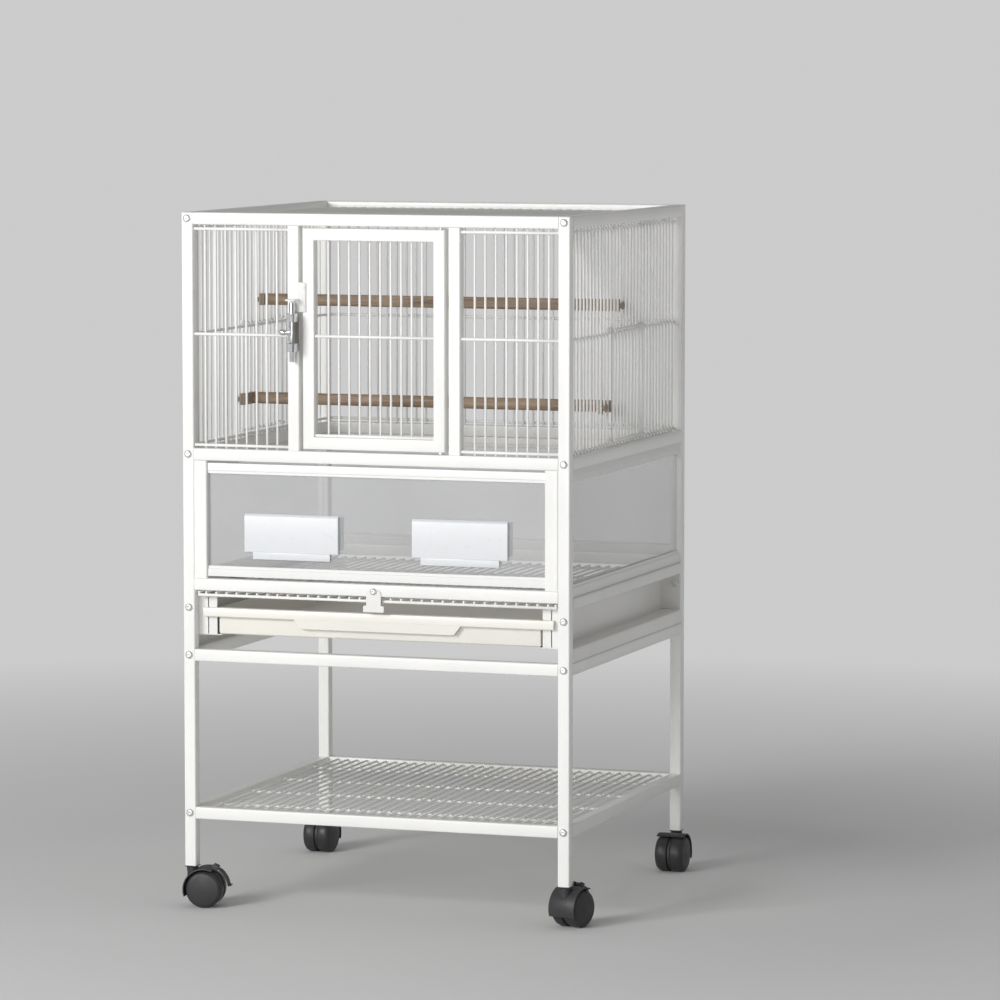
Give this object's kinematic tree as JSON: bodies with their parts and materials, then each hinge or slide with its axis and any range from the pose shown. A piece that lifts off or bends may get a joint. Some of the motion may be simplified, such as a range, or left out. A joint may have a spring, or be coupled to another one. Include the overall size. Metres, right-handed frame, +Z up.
{
  "type": "parrot cage on a wheeled stand",
  "caption": "Square-tube parrot cage with wire panels, hinged front door, clear lower guard, pull-out tray and grille, on a stand with swivel casters.",
  "frame": {"origin": "on the floor, under the middle of the cage", "axes": "+Z up; the front with the door faces -Y; +X is to the right seen from the front"},
  "size_m": [0.5743, 0.537, 0.9268],
  "materials": {
    "frame_enamel": "warm white powder coat, satin",
    "wire_enamel": "warm white powder coat, satin",
    "panel_enamel": "white enamelled sheet steel, satin",
    "tray_enamel": "cream enamelled sheet steel, satin",
    "clear_sheet": "clear acrylic, polished",
    "channel": "white extruded plastic",
    "feeder": "white moulded plastic",
    "perch": "brown turned wood",
    "perch_clip": "pale moulded plastic",
    "latch": "bright plated steel",
    "bolt": "zinc plated steel",
    "cap": "white moulded plastic",
    "caster_socket": "charcoal moulded plastic",
    "caster_body": "charcoal moulded plastic",
    "caster_wheel": "charcoal moulded plastic"
  },
  "bodies": {
    "frame": {"cage_post_front_left": "frame_enamel", "cage_post_front_right": "frame_enamel", "cage_post_rear_left": "frame_enamel", "cage_post_rear_right": "frame_enamel", "frame_bolts": "bolt", "front_stiles": "frame_enamel", "guard_channels": "channel", "guard_sheet_left": "clear_sheet", "guard_sheet_rear": "clear_sheet", "guard_sheet_right": "clear_sheet", "latch_case": "latch", "leg_sockets": "caster_socket", "lower_rail_front": "frame_enamel", "mid_rail_front": "frame_enamel", "mid_rails_side": "frame_enamel", "panel_front_left": "wire_enamel", "panel_front_right": "wire_enamel", "panel_left": "wire_enamel", "panel_rear": "wire_enamel", "panel_right": "wire_enamel", "panel_roof": "wire_enamel", "perch_clips": "perch_clip", "perch_high": "perch", "perch_low": "perch", "post_caps": "cap", "rear_rails": "frame_enamel", "runner_panel_left": "panel_enamel", "runner_panel_right": "panel_enamel", "shelf_grille": "wire_enamel", "shelf_rails": "frame_enamel", "stand_legs": "frame_enamel", "stand_rails": "frame_enamel", "top_rail_front": "frame_enamel", "top_rails_side": "frame_enamel"},
    "front_door": {"door_frame": "frame_enamel", "door_wires": "wire_enamel", "door_pivots": "bolt", "door_catch": "cap"},
    "latch_bolt": {"latch_rod": "latch"},
    "guard_flap": {"flap_channels": "channel", "flap_sheet": "clear_sheet"},
    "seed_cup_left": {"feeder_left": "feeder"},
    "seed_cup_right": {"feeder_right": "feeder"},
    "tray_body": {"tray": "tray_enamel"},
    "grille_body": {"floor_grille": "wire_enamel", "grille_tab": "panel_enamel", "grille_screw": "bolt"},
    "lift_door_left": {"side_door_left": "wire_enamel"},
    "lift_door_right": {"side_door_right": "wire_enamel"},
    "swivel_fl": {"caster_fl_fork": "caster_body"},
    "wheels_fl": {"caster_fl_wheels": "caster_wheel"},
    "swivel_fr": {"caster_fr_fork": "caster_body"},
    "wheels_fr": {"caster_fr_wheels": "caster_wheel"},
    "swivel_rl": {"caster_rl_fork": "caster_body"},
    "wheels_rl": {"caster_rl_wheels": "caster_wheel"},
    "swivel_rr": {"caster_rr_fork": "caster_body"},
    "wheels_rr": {"caster_rr_wheels": "caster_wheel"},
    "brake_fl": {"caster_fl_brake": "caster_body"},
    "brake_fr": {"caster_fr_brake": "caster_body"}
  },
  "joints": [
    {"name": "front_door_hinge", "type": "hinge", "parent": "frame", "child": "front_door", "pos_m": [0.091, -0.248, 0.7628], "axis": [0, 0, 1], "range_deg": [0, 110]},
    {"name": "latch_slide", "type": "slide", "parent": "frame", "child": "latch_bolt", "axis": [0, 0, 1], "range_m": [0, 0.012]},
    {"name": "guard_flap_hinge", "type": "hinge", "parent": "frame", "child": "guard_flap", "pos_m": [0, -0.248, 0.5887], "axis": [-1, 0, 0], "range_deg": [0, 85]},
    {"name": "feeder_left_pull", "type": "slide", "parent": "guard_flap", "child": "seed_cup_left", "axis": [0, -1, 0], "range_m": [0, 0.028]},
    {"name": "feeder_right_pull", "type": "slide", "parent": "guard_flap", "child": "seed_cup_right", "axis": [0, -1, 0], "range_m": [0, 0.028]},
    {"name": "tray_pull", "type": "slide", "parent": "frame", "child": "tray_body", "axis": [0, -1, 0], "range_m": [0, 0.4]},
    {"name": "floor_grille_pull", "type": "slide", "parent": "frame", "child": "grille_body", "axis": [0, -1, 0], "range_m": [0, 0.4]},
    {"name": "side_door_left_lift", "type": "slide", "parent": "frame", "child": "lift_door_left", "axis": [0, 0, 1], "range_m": [0, 0.125]},
    {"name": "side_door_right_lift", "type": "slide", "parent": "frame", "child": "lift_door_right", "axis": [0, 0, 1], "range_m": [0, 0.125]},
    {"name": "caster_fl_swivel", "type": "hinge", "parent": "frame", "child": "swivel_fl", "pos_m": [-0.262, -0.248, 0.054], "axis": [0, 0, 1], "continuous": true},
    {"name": "caster_fl_roll", "type": "hinge", "parent": "swivel_fl", "child": "wheels_fl", "pos_m": [-0.24427, -0.24487, 0.025], "axis": [-0.1736, 0.9848, 0], "continuous": true},
    {"name": "caster_fl_brake_press", "type": "hinge", "parent": "swivel_fl", "child": "brake_fl", "pos_m": [-0.22943, -0.24226, 0.05334], "axis": [-0.1736, 0.9848, 0], "range_deg": [0, 12]},
    {"name": "caster_fr_swivel", "type": "hinge", "parent": "frame", "child": "swivel_fr", "pos_m": [0.262, -0.248, 0.054], "axis": [0, 0, 1], "continuous": true},
    {"name": "caster_fr_roll", "type": "hinge", "parent": "swivel_fr", "child": "wheels_fr", "pos_m": [0.26696, -0.2307, 0.025], "axis": [-0.9613, 0.2756, 0], "continuous": true},
    {"name": "caster_fr_brake_press", "type": "hinge", "parent": "swivel_fr", "child": "brake_fr", "pos_m": [0.27111, -0.21621, 0.05334], "axis": [-0.9613, 0.2756, 0], "range_deg": [0, 12]},
    {"name": "caster_rl_swivel", "type": "hinge", "parent": "frame", "child": "swivel_rl", "pos_m": [-0.262, 0.248, 0.054], "axis": [0, 0, 1], "continuous": true},
    {"name": "caster_rl_roll", "type": "hinge", "parent": "swivel_rl", "child": "wheels_rl", "pos_m": [-0.262, 0.23, 0.025], "axis": [1, 0, 0], "continuous": true},
    {"name": "caster_rr_swivel", "type": "hinge", "parent": "frame", "child": "swivel_rr", "pos_m": [0.262, 0.248, 0.054], "axis": [0, 0, 1], "continuous": true},
    {"name": "caster_rr_roll", "type": "hinge", "parent": "swivel_rr", "child": "wheels_rr", "pos_m": [0.262, 0.23, 0.025], "axis": [1, 0, 0], "continuous": true}
  ]
}
